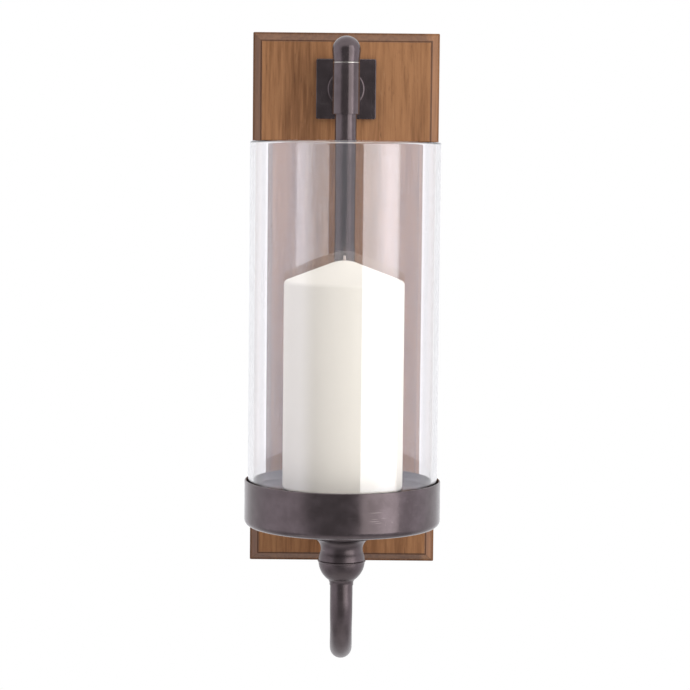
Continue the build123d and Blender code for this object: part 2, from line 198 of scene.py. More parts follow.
# ---- surfaces
def skin(name, points, rows_close=False):
    """Mesh over a grid of points [row, column]. Columns close round. Rows close too if
    rows_close. Otherwise an end row that shrinks to a point is a pole, and any other end row is
    filled flat."""
    rows, columns = points.shape[:2]
    index = np.arange(rows * columns).reshape(rows, columns)
    pole = np.ptp(points, axis=1).max(axis=1) < 1e-9
    index[pole] = index[pole, :1]
    near, far = (index, np.roll(index, -1, axis=0)) if rows_close else (index[:-1], index[1:])
    quads = np.stack([near, np.roll(near, -1, axis=1), np.roll(far, -1, axis=1), far], axis=-1)
    quads = quads.reshape(-1, 4)
    starts_at_pole = quads[:, 0] == quads[:, 1]
    ends_at_pole = quads[:, 2] == quads[:, 3]
    caps = []
    if not rows_close and not pole[0]:
        caps.append(index[0][::-1])
    if not rows_close and not pole[-1]:
        caps.append(index[-1])
    used = np.unique(np.concatenate([quads.ravel(), *caps]))
    renumber = np.zeros(rows * columns, int)
    renumber[used] = np.arange(len(used))
    faces = [
        *renumber[quads[~(starts_at_pole | ends_at_pole)]].tolist(),
        *renumber[quads[starts_at_pole][:, [0, 2, 3]]].tolist(),
        *renumber[quads[ends_at_pole][:, [0, 1, 2]]].tolist(),
        *(renumber[cap].tolist() for cap in caps),
    ]
    mesh = bpy.data.meshes.new(name)
    mesh.from_pydata(points.reshape(-1, 3)[used].tolist(), [], faces)
    smooth(mesh)
    piece = bpy.data.objects.new(name, mesh)
    bpy.context.scene.collection.objects.link(piece)
    return piece


def smooth(mesh):
    """Smooth shading everywhere but over edges sharper than SMOOTH_ANGLE."""
    mesh.polygons.foreach_set("use_smooth", np.ones(len(mesh.polygons), bool))
    mesh.set_sharp_from_angle(angle=SMOOTH_ANGLE)
    mesh.update()


def turned(name, outline, axis, segments=ROUND_SEGMENTS, rows_close=False, swell=None):
    """Surface of revolution: the outline's radius times the cosine and sine of an angle, about an
    upright axis, at the outline's height. The outline keeps the outside on its right. swell, a
    function of the angle and the height, is added to each radius that isn't on the axis."""
    angle = round_turn(segments)
    radius, height = outline[:, :1], outline[:, 1:]
    if swell is not None:
        radius = radius + np.where(radius > 0, swell(angle, height), 0)
    points = np.stack(
        [
            axis[0] + radius * np.cos(angle),
            axis[1] + radius * np.sin(angle),
            height + 0 * angle,
        ],
        axis=2,
    )
    return skin(name, points, rows_close)


def flat_prism(name, rings, depths):
    """Prism through outlines in the wall's plane: ring i lies at depths[i] in front of the wall,
    and the depths grow towards the room."""
    depth = np.broadcast_to(-np.array(depths)[:, None, None], rings.shape[:2] + (1,))
    return skin(name, np.concatenate([rings[..., :1], depth, rings[..., 1:]], axis=2))


def round_hole(centre, radius, deep_end, name="hole_cutter"):
    """Cutter for a round hole in the wall side: a cylinder from behind the wall to deep_end."""
    circle = arc(centre, radius, 0, 360, 49)[:-1]
    return flat_prism(name, np.stack([circle, circle]), [-MM, deep_end])


def four_places(reach, height):
    """Corners of a square about the board's middle line, reach from its centre each way."""
    return [(side_x * reach, height + side_z * reach) for side_x in (-1, 1) for side_z in (-1, 1)]


def cut(piece, cutters):
    """Take the cutters' volumes out of the piece, one after the other, and remove them."""
    for cutter in cutters:
        modifier = piece.modifiers.new("cut", "BOOLEAN")
        modifier.operation = "DIFFERENCE"
        modifier.solver = "EXACT"
        modifier.object = cutter
        evaluated = piece.evaluated_get(bpy.context.evaluated_depsgraph_get())
        whole = bpy.data.meshes.new_from_object(evaluated)
        piece.modifiers.clear()
        piece.data = whole
        bpy.data.objects.remove(cutter)
    if not len(piece.data.polygons):
        raise RuntimeError(f"{piece.name} was cut away")
    smooth(piece.data)


# ---- colours and nodes
def linear(hex_colour):
    """sRGB hex to linear: a channel c is c / 12.92 up to 0.04045, then ((c + 0.055) / 1.055)
    to the power 2.4."""
    channel = np.array([int(hex_colour[i : i + 2], 16) for i in (0, 2, 4)]) / 255
    return tuple(
        np.where(channel <= 0.04045, channel / 12.92, ((channel + 0.055) / 1.055) ** 2.4).tolist()
    )


def rgba(colour):
    """A colour property as the four numbers that a socket takes."""
    return (*colour, 1.0)


def repeats(*sizes_mm):
    """Pattern repeats per metre for feature sizes in millimetres."""
    return tuple(1 / (size * MM) for size in sizes_mm)


def add(tree, kind, inputs=None, **settings):
    """Add one node. settings are its own properties. inputs give each input its number or its
    colour, or the node or socket that feeds it. A node feeds it from its first output in use."""
    node = tree.nodes.new("ShaderNode" + kind)
    for name, value in settings.items():
        setattr(node, name, value)
    for key, value in (inputs or {}).items():
        if isinstance(value, bpy.types.Node):
            value = next(output for output in value.outputs if output.enabled)
        if isinstance(value, bpy.types.NodeSocket):
            tree.links.new(value, node.inputs[key])
        else:
            node.inputs[key].default_value = value
    return node


def new_material(name):
    """An empty node material, with its tree and its Object coordinates."""
    material = bpy.data.materials.new(name)
    material.use_nodes = True
    tree = material.node_tree
    tree.nodes.clear()
    coordinates = add(tree, "TexCoord").outputs["Object"]
    return material, tree, coordinates


def cover(tree, under, colour, field, start, end, most=1.0, **settings):
    """Lay a colour over what is under it, from none where a field is start to most at end."""
    share = add(
        tree, "MapRange", {"Value": field, "From Min": start, "From Max": end, "To Max": most}, **settings
    )
    return add(tree, "Mix", {0: share, 6: under, 7: rgba(colour)}, data_type="RGBA")


def put_out(tree, shader):
    """Link a shader to the material's output."""
    add(tree, "OutputMaterial", {"Surface": shader})


def finish(tree, relief, strength, depth_mm, inputs):
    """Put out one Principled shader with these inputs, bumped by a relief field."""
    bump = add(tree, "Bump", {"Height": relief, "Strength": strength, "Distance": depth_mm * MM})
    put_out(tree, add(tree, "BsdfPrincipled", {**inputs, "Normal": bump}))


# ---- sizes and colours to change
def length(name, description, millimetres):
    """A length property, given in millimetres and kept in metres."""
    return bpy.props.FloatProperty(
        name=name, description=description, default=millimetres * MM, unit="LENGTH", precision=5
    )


def coloured(name, description, hex_colour):
    """A colour property, given as sRGB hex and kept linear."""
    return bpy.props.FloatVectorProperty(
        name=name, description=description, subtype="COLOR", size=3, min=0, max=1,
        default=linear(hex_colour),
    )


class SconceSizes(bpy.types.PropertyGroup):
    """Sizes that the frame's boxes don't give."""

    lip_width: length("Lip width", "Flat left round the outside of the moulding", 1.0)
    moulding_width: length("Moulding width", "Board's outline in to the raised field", 6.0)
    moulding_depth: length("Moulding depth", "Raised field back to the lip", 6.0)
    quirk: length("Quirk", "Width and depth of the step beside the raised field", 0.8)
    wood_round: length("Wood arris", "Rounding of the board's sanded edges", 0.5)
    plate_round: length("Plate arris", "Rounding of the wall plate's filed edges", 0.6)
    neck_curve: length("Neck curve", "Radius of the hollow under the knuckle's flange", 7.5)
    flange_thickness: length("Flange thickness", "Height of the knuckle's flange under the tray", 7.4)
    ball_radius: length("Ball radius", "Radius of the knuckle's ball", 14.8)
    ball_drop: length("Ball drop", "Underside of the tray to the ball's centre", 22.7)
    bead_radius: length("Bead radius", "Fine bead round the ball's middle", 0.55)
    tray_corner: length("Tray corner", "Outer radius where the tray's wall meets its floor", 4.5)
    tray_wall: length("Tray wall", "Thickness of the tray's wall", 1.4)
    glass_wall: length("Glass wall", "Thickness of the glass cylinder", 3.0)
    cone_angle: bpy.props.FloatProperty(
        name="Candle cone", description="Slope of the candle's top",
        default=math.radians(21), subtype="ANGLE",
    )
    tip_radius: length("Candle tip", "Radius of the soft tip round the wick", 22.0)
    unevenness: length("Unevenness", "Most that a hammered or turned face falls short of true", 0.12)


class SconceColours(bpy.types.PropertyGroup):
    """Colours of the finishes."""

    wood_light: coloured("Wood, light grain", "Pale early wood under the stain", "A1724B")
    wood_dark: coloured("Wood, dark grain", "Dense late wood under the stain", "734B2D")
    # this colour serves for the glazing in the pores, and also paints shade: a dark line along the quirk
    # and a darker moulding
    glaze_and_painted_shade: coloured("Wood glaze", "Glaze left in the pores and the quirk", "432A1E")
    bronze_dark: coloured("Bronze, dark", "Oil-darkened bronze in the hollows", "504748")
    bronze_worn: coloured("Bronze, rubbed", "Bronze rubbed back to a paler skin", "5F5557")
    steel: coloured("Steel", "Bare polished washer", "BDB7B1")
    zinc: coloured("Zinc plate", "Bright zinc on the fixings", "B9BCBD")
    wax: coloured("Wax", "Ivory paraffin wax", "FCE7DA")
    wick: coloured("Wick", "Unburnt braided cotton", "C4B6AE")


# ---- materials
def stained_hardwood(colours, board_low, board_high):
    """Upright-grained hardwood, brushed with a brown stain, with glazing in its pores, and lacquered
    satin. The eye sees broad bands of tone, fine upright streaks, dark pores and pale flecks where
    the stain missed. Painted shade lies in a dark line along the quirk and over the moulding,
    lighter on its right-hand run, where the key light falls."""
    material, tree, coordinates = new_material("stained_hardwood")
    # real pores are 0.2 mm across, drawn 0.8 mm wide so that they show
    bands, streaks, pores = (
        add(
            tree, "TexNoise", {
                "Vector": add(tree, "Mapping", {"Vector": coordinates, "Scale": repeats(*sizes_mm)}),
                "Scale": 1.0, "Detail": detail, "Roughness": roughness,
            },
        )
        for sizes_mm, detail, roughness in (
            ((24, 24, 340), 4.0, 0.55), ((2.6, 2.6, 44), 5.0, 0.62), ((0.8, 0.8, 9), 2.0, 0.5),
        )
    )
    tone = add(tree, "Mix", {2: bands, 3: streaks, 0: 0.5}, data_type="FLOAT")
    grain = cover(
        tree, rgba(colours.wood_dark), colours.wood_light, tone, 0.36, 0.64,
        interpolation_type="SMOOTHSTEP",
    )
    pored = cover(tree, grain, colours.glaze_and_painted_shade, pores, 0.33, 0.22, 0.55)
    flecked = cover(tree, pored, linear("B98F68"), pores, 0.68, 0.78, 0.4)
    # inset of a point from the board's outline
    axes = add(tree, "SeparateXYZ", {0: coordinates})
    half_width, half_height = board_high[0], board_high[2]
    from_side, from_end = (
        add(
            tree, "Math", {0: half, 1: add(tree, "Math", {0: axes.outputs[axis]}, operation="ABSOLUTE")},
            operation="SUBTRACT",
        )
        for half, axis in ((half_width, "X"), (half_height, "Z"))
    )
    inset = add(tree, "Math", {0: from_side, 1: from_end}, operation="MINIMUM")
    quirk_inset = 5.5 * MM
    away_from_quirk = add(tree, "Math", {0: inset, 1: -quirk_inset}, operation="ADD")
    quirk_gap = add(tree, "Math", {0: away_from_quirk}, operation="ABSOLUTE")
    # painted shade: a dark line along the quirk, the narrow step beside the raised field
    quirk_shade = add(
        tree, "MapRange", {
            "Value": quirk_gap, "From Min": 1.1 * MM, "From Max": 0.3 * MM, "To Max": 0.75,
        }, interpolation_type="SMOOTHSTEP",
    )
    # painted shade over the moulding, none on the field, lighter on the moulding's right-hand run, where
    # the key light falls
    moulding_shade = add(
        tree, "MapRange", {
            "Value": axes.outputs["X"], "From Min": board_high[0] - 10 * MM,
            "From Max": board_high[0] - 6 * MM, "To Min": 0.6, "To Max": 0.25,
        },
    )
    shade_on_moulding = add(
        tree, "MapRange", {
            "Value": inset, "To Max": moulding_shade, "From Min": 6.4 * MM, "From Max": 5.2 * MM,
        }, interpolation_type="SMOOTHSTEP",
    )
    painted_shade = add(tree, "Math", {0: quirk_shade, 1: shade_on_moulding}, operation="MAXIMUM")
    # and there is none on the back
    off_back = add(
        tree, "MapRange", {"Value": axes.outputs["Y"], "From Min": -0.4 * MM, "From Max": -1.2 * MM},
    )
    painted_shade_seen = add(tree, "Math", {0: painted_shade, 1: off_back}, operation="MULTIPLY")
    with_painted_shade = add(
        tree, "Mix", {0: painted_shade_seen, 6: flecked, 7: rgba(colours.glaze_and_painted_shade)}, data_type="RGBA"
    )
    gloss = add(tree, "MapRange", {"Value": streaks, "To Min": 0.36, "To Max": 0.52})
    relief = add(tree, "Mix", {2: streaks, 3: pores, 0: 0.5}, data_type="FLOAT")
    finish(tree, relief, 0.35, 0.25, {
        "Base Color": with_painted_shade, "Roughness": gloss, "Specular IOR Level": 0.3,
    })
    return material


def rubbed_bronze(colours, tray_low):
    """Iron with an oil-rubbed bronze finish. The eye sees a dark, slightly violet brown metal with
    soft-edged reflections, faint paler clouds where it was rubbed, fine pale chips and scratches,
    and a duller skin below the tray."""
    material, tree, coordinates = new_material("rubbed_bronze")
    clouds = add(
        tree, "TexNoise",
        {"Vector": coordinates, "Scale": repeats(9)[0], "Detail": 6.0, "Roughness": 0.6},
    )
    grit = add(
        tree, "TexNoise",
        {"Vector": coordinates, "Scale": repeats(1.3)[0], "Detail": 3.0, "Roughness": 0.55},
    )
    scratch_field = add(
        tree, "TexNoise", {
            "Vector": add(
                tree, "Mapping", {
                    "Vector": coordinates, "Scale": repeats(16, 16, 0.7),
                    "Rotation": (0.0, math.radians(9), 0.0),
                },
            ),
            "Scale": 1.0, "Detail": 1.0,
        },
    )
    patina = cover(
        tree, rgba(colours.bronze_dark), colours.bronze_worn, clouds, 0.3, 0.75,
        interpolation_type="SMOOTHSTEP",
    )
    bare = linear("8E8583")
    worn = cover(tree, patina, bare, scratch_field, 0.74, 0.8, 0.5)
    chipped = cover(tree, worn, bare, grit, 0.7, 0.76, 0.6)
    gloss = add(
        tree, "MapRange",
        {"Value": clouds, "From Min": 0.3, "From Max": 0.7, "To Min": 0.15, "To Max": 0.25},
    )
    # below the tray the bronze was left unburnished
    height = add(tree, "SeparateXYZ", {0: coordinates}).outputs["Z"]
    dullness = add(
        tree, "MapRange",
        {"Value": height, "From Min": tray_low, "From Max": tray_low - 6 * MM, "To Max": 0.13},
    )
    roughness = add(tree, "Math", {0: gloss, 1: dullness}, operation="ADD")
    relief = add(tree, "Mix", {2: clouds, 3: grit, 0: 0.35}, data_type="FLOAT")
    finish(tree, relief, 0.12, 0.2, {"Base Color": chipped, "Roughness": roughness, "Metallic": 0.8})
    return material


def plated_metal(name, colour, smooth_roughness, rough_roughness, spangle_mm):
    """Bright plated or bare steel. The eye sees pale metal whose gloss changes from one spangle of
    the plate, or one turning mark, to the next."""
    material, tree, coordinates = new_material(name)
    spangle = add(tree, "TexVoronoi", {"Vector": coordinates, "Scale": repeats(spangle_mm)[0]})
    haze = add(
        tree, "TexNoise", {"Vector": coordinates, "Scale": repeats(3 * spangle_mm)[0], "Detail": 4.0},
    )
    tint = add(
        tree, "Mix", {0: haze, 6: rgba(colour), 7: rgba([0.62 * channel for channel in colour])},
        data_type="RGBA",
    )
    gloss = add(
        tree, "MapRange", {"Value": spangle, "To Min": smooth_roughness, "To Max": rough_roughness},
    )
    finish(tree, haze, 0.1, 0.1, {"Base Color": tint, "Roughness": gloss, "Metallic": 1.0})
    return material


def drawn_glass():
    """Clear soda glass, drawn as a tube. The eye sees bright upright reflections, dark bent edges
    and a faint bloom on the surface. Lamps shine through it with a very slight loss."""
    material, tree, coordinates = new_material("drawn_glass")
    ripple = add(
        tree, "TexNoise", {
            "Vector": add(tree, "Mapping", {"Vector": coordinates, "Scale": repeats(30, 30, 90)}),
            "Scale": 1.0, "Detail": 1.0,
        },
    )
    bump = add(tree, "Bump", {"Height": ripple, "Strength": 0.02, "Distance": 0.5 * MM})
    glass = add(
        tree, "BsdfPrincipled", {
            "Normal": bump, "Base Color": rgba(linear("F6F5F5")), "Roughness": 0.0, "IOR": 1.52,
            "Transmission Weight": 1.0,
        },
    )
    # a thin bloom brightens the reflections, most where the wall is met squarely
    film = add(tree, "BsdfAnisotropic", {"Color": rgba(linear("F0F3FA")), "Roughness": 0.02})
    facing = add(tree, "LayerWeight").outputs["Facing"]
    film_share = add(
        tree, "MapRange",
        {"Value": facing, "From Min": 0.08, "From Max": 0.27, "To Min": 0.05, "To Max": 0.015},
    )
    filmed = add(tree, "MixShader", {0: film_share, 1: glass, 2: film})
    light_path = add(tree, "LightPath")
    clear = add(tree, "BsdfTransparent", {"Color": rgba(linear("F6F6F6"))})
    put_out(tree, add(tree, "MixShader", {0: light_path.outputs["Is Shadow Ray"], 1: filmed, 2: clear}))
    return material


def ivory_wax(colours):
    """Moulded paraffin wax. The eye sees a soft glow under the surface, a silky sheen and very
    faint clouding and mould marks."""
    material, tree, coordinates = new_material("ivory_wax")
    clouding = add(tree, "TexNoise", {"Vector": coordinates, "Scale": repeats(18)[0], "Detail": 3.0})
    mould_marks = add(
        tree, "TexNoise", {
            "Vector": add(tree, "Mapping", {"Vector": coordinates, "Scale": repeats(3, 3, 60)}),
            "Scale": 1.0, "Detail": 3.0,
        },
    )
    tone = add(
        tree, "Mix", {
            0: clouding, 6: rgba([0.95 * channel for channel in colours.wax]), 7: rgba(colours.wax),
        }, data_type="RGBA",
    )
    gloss = add(tree, "MapRange", {"Value": clouding, "To Min": 0.38, "To Max": 0.5})
    finish(tree, mould_marks, 0.12, 0.2, {
        "Base Color": tone, "Roughness": gloss, "IOR": 1.44, "Subsurface Weight": 1.0,
        "Subsurface Radius": (1.0, 0.9, 0.8), "Subsurface Scale": 9 * MM,
    })
    return material


def cotton_braid(colours):
    """Unburnt cotton wick, waxed. The eye sees pale matt threads with darker gaps."""
    material, tree, coordinates = new_material("cotton_braid")
    threads = add(
        tree, "TexWave", {"Vector": coordinates, "Scale": repeats(0.7)[0] / 20, "Distortion": 1.5},
        bands_direction="DIAGONAL",
    )
    tone = add(
        tree, "Mix", {
            0: threads.outputs["Fac"], 6: rgba([0.45 * channel for channel in colours.wick]),
            7: rgba(colours.wick),
        }, data_type="RGBA",
    )
    finish(tree, threads.outputs["Fac"], 0.5, 0.15, {
        "Base Color": tone, "Roughness": 0.8, "Sheen Weight": 0.3,
    })
    return material


def material_named(name, make, *arguments):
    """The material of that name, made the first time it is asked for."""
    return bpy.data.materials.get(name) or make(*arguments)


def bronze_of(colours):
    """The bronze that the bracket, the hook and the tray share."""
    return material_named("rubbed_bronze", rubbed_bronze, colours, span("tray_pan")[0][2])


def dress(piece, body, slot, material, *nodes):
    """Give a new piece its material and its body, and hide the CAD nodes that it stands for. slot is not
    used.
    """
    piece.data.materials.clear()
    piece.data.materials.append(material)
    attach(piece, body)
    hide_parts(*nodes)


def hammered(depth, waves, along_mm, seed, foot, head):
    """Unevenness of a hand-worked face, always inwards: a product of slow waves round the piece
    and along its height, between zero and minus depth. It dies away towards foot and head, each
    a height and the run over which it does so."""
    def swell(angle, height):
        wave = (
            np.sin(waves * angle + seed + 2.1 * np.sin(height / (along_mm * MM)))
            * np.cos(height / (0.37 * along_mm * MM) + 1.7 * seed)
        )
        above, below = (height - foot[0]) / foot[1], (head[0] - height) / head[1]
        return -depth * (1 + wave) / 2 * (np.clip(below, 0, 1) * np.clip(above, 0, 1))

    return swell


# ---- one operator for each group of pieces
class SCONCE_OT_backboard(bpy.types.Operator):
    """Moulded backboard, recessed behind for its hangers and bolts"""

    bl_idname = "sconce.backboard"
    bl_label = "Backboard"

    def execute(self, context):
        sizes, colours = context.scene.sconce_sizes, context.scene.sconce_colours
        low, high = span("backboard")
        thickness = -low[1]
        run = sizes.moulding_width - sizes.quirk
        slab = thickness - sizes.moulding_depth
        ledge = thickness - sizes.quirk
        arris = sizes.wood_round
        # (inset from the outline, height in front of the wall), from the back round to the field
        moulding = rounded(
            [
                (arris * 3, 0), (0, 0), (0, slab), (sizes.lip_width, slab), (run, ledge),
                (sizes.moulding_width, ledge), (sizes.moulding_width, thickness),
                (sizes.moulding_width + arris * 3, thickness),
            ],
            [0, arris, arris, 0.3 * arris, 0.6 * arris, 0.3 * arris, 0.8 * arris, 0],
        )
        inset, depth = moulding[:, 0], moulding[:, 1]
        rings = rounded_rectangles(
            high[0] - inset, high[2] - inset, np.maximum(0.8 * MM - inset, 0.15 * MM), (0, 0), spans=28
        )
        board = flat_prism("moulded_backboard", rings, depth)
        cutters = []
        for plate in ("hanger_plate_upper", "hanger_plate_lower"):
            cutters += hanger_recess(plate)
        bolt_low, bolt_high = span("plate_bolt_washers")
        plate_centre = (bolt_low[2] + bolt_high[2]) / 2
        for place in four_places(bolt_high[0] - WASHER_RADIUS, plate_centre):
            cutters.append(round_hole(place, COUNTERBORE_RADIUS, COUNTERBORE_DEPTH))
            cutters.append(round_hole(place, BOLT_HOLE_RADIUS, thickness + MM))
        cut(board, cutters)
        material = material_named("stained_hardwood", stained_hardwood, colours, low, high)
        dress(board, "wall_bracket", "stained_wood", material, "backboard")
        return {"FINISHED"}


def hanger_recess(plate):
    """Cutters for one keyhole hanger: the shallow recess for its plate, the round-ended pocket
    behind its keyhole and two pilot holes for its screws."""
    low, high = span(plate)
    centre = (low[[0, 2]] + high[[0, 2]]) / 2
    half = (high[[0, 2]] - low[[0, 2]]) / 2 + HANGER_CLEARANCE
    thickness = -low[1]
    outline = rounded_rectangles(half[0], half[1], HANGER_CORNER, centre)
    recess = flat_prism("recess_cutter", np.repeat(outline, 2, axis=0), [-MM, thickness])
    outline = rounded_rectangles(
        POCKET_HALF_WIDTH, POCKET_HALF_HEIGHT, POCKET_HALF_WIDTH - 0.01 * MM, centre, steps=16
    )
    pocket = flat_prism("pocket_cutter", np.repeat(outline, 2, axis=0), [-MM, thickness + POCKET_DEPTH])
    pilots = [
        round_hole(centre + np.array([0, side * PILOT_REACH]), PILOT_RADIUS, PILOT_DEPTH)
        for side in (-1, 1)
    ]
    return [recess, pocket, *pilots]


class SCONCE_OT_wall_bracket(bpy.types.Operator):
    """Wall plate, collar, arm, sleeve and thrust washer"""

    bl_idname = "sconce.wall_bracket"
    bl_label = "Wall bracket"

    def execute(self, context):
        sizes, colours = context.scene.sconce_sizes, context.scene.sconce_colours
        bronze = bronze_of(colours)
        bore = radius_of("hook_rod") + SWIVEL_CLEARANCE
        for piece, node in (
            (self.wall_plate(sizes), "wall_plate"),
            (self.collar(), "arm_collar"),
            (self.arm(), "arm"),
            (self.ring("turned_sleeve", "sleeve", bore, 0.45 * MM, 0.2 * MM), "sleeve"),
        ):
            dress(piece, "wall_bracket", "dark_bronze", bronze, node)
        washer = self.ring("polished_thrust_washer", "thrust_washer", bore, 0.15 * MM, 0.1 * MM)
        steel = material_named(
            "polished_steel", plated_metal, "polished_steel", colours.steel, 0.16, 0.3, 0.6
        )
        dress(washer, "wall_bracket", "bright_steel", steel, "thrust_washer")
        return {"FINISHED"}

    def wall_plate(self, sizes):
        """Square plate: rounded rectangles that draw in along a quarter-round front edge."""
        low, high = span("wall_plate")
        centre = (low[[0, 2]] + high[[0, 2]]) / 2
        half = (high[0] - low[0]) / 2
        back, front = -high[1], -low[1]
        arris = sizes.plate_round
        edge = rounded(
            [(arris * 3, back), (0, back), (0, front), (arris * 3, front)], [0, 0.2 * arris, arris, 0]
        )
        rings = rounded_rectangles(
            half - edge[:, 0], half - edge[:, 0], np.maximum(1.1 * MM - edge[:, 0], 0.3 * MM), centre,
            spans=12,
        )
        plate = flat_prism("filed_wall_plate", rings, edge[:, 1])
        bolt_reach = span("plate_bolts")[1][0] - BOLT_HEAD_RADIUS
        cut(plate, [
            round_hole(place, BOLT_TAP_RADIUS, back + BOLT_TAP_DEPTH)
            for place in four_places(bolt_reach, centre[1])
        ])
        return plate

    def collar(self):
        """Ring round the arm's root: an upright-axis section turned to lie along the arm."""
        low, high = span("arm_collar")
        radius, bore = (high[0] - low[0]) / 2, radius_of("arm")
        height = (low[2] + high[2]) / 2
        rounds = [0.1 * MM, 0.2 * MM, 1.2 * MM, 0.4 * MM]
        section = ring_section(bore, radius, -high[1], -low[1], rounds)
        angle = round_turn(SMALL_SEGMENTS)
        reach, depth = section[:, :1], section[:, 1:]
        points = np.stack(
            [reach * np.cos(angle), -depth + 0 * angle, height + reach * np.sin(angle)], axis=2
        )
        return skin("turned_arm_collar", points, rows_close=True)

    def arm(self):
        """Round bar: its front end is coped, each point lying on the sleeve's cylinder, at the
        axis distance minus the root of the sleeve's radius squared less x squared."""
        low, high = span("arm")
        radius, height = radius_of("arm"), (low[2] + high[2]) / 2
        sleeve_y, sleeve_radius = axis_of("sleeve")[1], radius_of("sleeve")
        angle = round_turn(SMALL_SEGMENTS)
        body_share = np.linspace(0, 1, 9)[:, None]
        end_share = np.linspace(1, 0, 9)[1:, None]
        reach = radius * np.concatenate([[[0.0]], np.ones((9, 1)), end_share])
        along = np.concatenate([[[0.0]], body_share, np.ones((8, 1))])
        x = reach * np.cos(angle)
        coped = sleeve_y + np.sqrt(sleeve_radius**2 - x**2)
        y = high[1] + (coped - high[1]) * along
        return skin("coped_arm", np.stack([x, y, height + reach * np.sin(angle)], axis=2))

    def ring(self, name, node, bore, outer_round, inner_round):
        """Hollow turned ring, its corners rounded."""
        low, high = span(node)
        rounds = [inner_round, outer_round, outer_round, inner_round]
        section = ring_section(bore, radius_of(node), low[2], high[2], rounds)
        return turned(name, section, axis_of(node), SMALL_SEGMENTS, rows_close=True)


class SCONCE_OT_hook(bpy.types.Operator):
    """Hooked rod with its finial and knuckle"""

    bl_idname = "sconce.hook"
    bl_label = "Hook"

    def execute(self, context):
        sizes, colours = context.scene.sconce_sizes, context.scene.sconce_colours
        bronze = bronze_of(colours)
        for piece, node in (
            (self.rod(sizes), "hook_rod"), (self.finial(), "finial"), (self.knuckle(sizes), "knuckle"),
        ):
            dress(piece, "hook_arm", "dark_bronze", bronze, node)
        return {"FINISHED"}

    def upright(self, y, heights):
        """Points of a vertical line at y, at these heights."""
        return np.stack([np.full(len(heights), y), heights], axis=1)

    def rod(self, sizes):
        """Round bar carried down a line, round a half circle and up a line. A circle's points are
        the path's point plus the radius times the cosine and sine of an angle, across the path.
        The threaded stud's radius falls and rises once a turn and once a pitch."""
        low, high = span("hook_rod")
        radius = radius_of("hook_rod")
        rear_y, front_y = axis_of("sleeve")[1], axis_of("tray_pan")[1]
        bend_radius = (rear_y - front_y) / 2
        bend_z = low[2] + radius + bend_radius
        shoulder_z = span("finial")[0][2]
        socket_z = span("knuckle")[0][2] + SOCKET_DEPTH
        stud_chamfer, rod_chamfer = 0.5 * MM, 0.3 * MM
        stud_rows = np.linspace(high[2] - stud_chamfer, shoulder_z, 60)
        rear_z = np.linspace(shoulder_z - rod_chamfer, bend_z, 110)
        turn = np.radians(np.linspace(0, -180, 97))[1:]
        front_z = np.linspace(bend_z, socket_z - rod_chamfer, 24)[1:]
        path = np.concatenate([
            [[rear_y, high[2]], [rear_y, high[2]]],
            self.upright(rear_y, stud_rows),
            [[rear_y, shoulder_z]],
            self.upright(rear_y, rear_z),
            np.stack(
                [rear_y - bend_radius + bend_radius * np.cos(turn), bend_z + bend_radius * np.sin(turn)],
                axis=1,
            ),
            self.upright(front_y, front_z),
            [[front_y, socket_z], [front_y, socket_z]],
        ])
        down, up = [0.0, -1.0], [0.0, 1.0]
        heading = np.concatenate([
            np.tile(down, (3 + len(stud_rows) + len(rear_z), 1)),
            np.stack([np.sin(turn), -np.cos(turn)], axis=1),
            np.tile(up, (len(front_z) + 2, 1)),
        ])
        reach = np.concatenate([
            [0, STUD_RADIUS - stud_chamfer], np.full(len(stud_rows), STUD_RADIUS),
            [radius - rod_chamfer], np.full(len(rear_z) + len(turn) + len(front_z), radius),
            [radius - rod_chamfer, 0],
        ])[:, None]
        angle = round_turn(SMALL_SEGMENTS)
        row = np.arange(len(path))[:, None]
        on_stud = (row >= 2) & (row < 2 + len(stud_rows))
        thread = np.abs(((path[:, 1:] / THREAD_PITCH + angle / (2 * np.pi)) % 1) * 2 - 1)
        reach = reach - np.where(on_stud, THREAD_DEPTH * thread, 0)
        # hammer marks die away inside the sleeve and the knuckle
        travel = np.concatenate([[0], np.cumsum(np.linalg.norm(np.diff(path, axis=0), axis=1))])[:, None]
        in_sleeve, in_knuckle = 62 * MM, 30 * MM
        free = np.clip((travel - in_sleeve) / (12 * MM), 0, 1)
        free = free * np.clip((travel[-1] - in_knuckle - travel) / (8 * MM), 0, 1)
        wave = np.sin(2 * angle + travel / (17 * MM)) * np.cos(travel / (6.5 * MM) + 0.6)
        reach = reach - sizes.unevenness * free * (1 + wave)
        reach = np.where((row == 0) | (row == len(path) - 1), 0, reach)
        across_y, across_z = heading[:, 1:], -heading[:, :1]
        points = np.stack(
            [
                reach * np.cos(angle),
                path[:, :1] + reach * np.sin(angle) * across_y,
                path[:, 1:] + reach * np.sin(angle) * across_z,
            ],
            axis=2,
        )
        return skin("forged_hook_rod", points)

    def finial(self):
        """Tapered cap under a half-round dome, bored for the rod's stud."""
        low, high = span("finial")
        radius, foot = radius_of("finial"), radius_of("thrust_washer")
        dome_z = high[2] - radius
        bore, bore_top = STUD_RADIUS, low[2] + STUD_BORE_DEPTH
        foot_outline = rounded(
            [(0, bore_top), (bore, bore_top), (bore, low[2]), (foot, low[2]), (radius, dome_z)],
            [0, 0, 0.3 * MM, 0.5 * MM, 0],
        )
        dome = arc((0, dome_z), radius, 0, 90, 26)[1:]
        dome[-1, 0] = 0
        outline = np.concatenate([foot_outline, dome])
        return turned("domed_finial", outline, axis_of("finial"), SMALL_SEGMENTS)

    def knuckle(self, sizes):
        """Turned knuckle: a flange, a hollow neck curve, a ball with a fine bead and a small flare
        at the rod, each an arc, bored below for the rod and above for the tray screw."""
        low, high = span("knuckle")
        flange, curve = radius_of("knuckle"), sizes.neck_curve
        ball, ball_z = sizes.ball_radius, high[2] - sizes.ball_drop
        flange_z = high[2] - sizes.flange_thickness
        rod = radius_of("hook_rod")
        foot, flare = rod + 0.4 * MM, rod + 2.4 * MM
        socket_z, tap_z, tap = low[2] + SOCKET_DEPTH, high[2] - TAP_DEPTH, TAP_RADIUS
        ball_low = -math.degrees(math.acos(flare / ball))
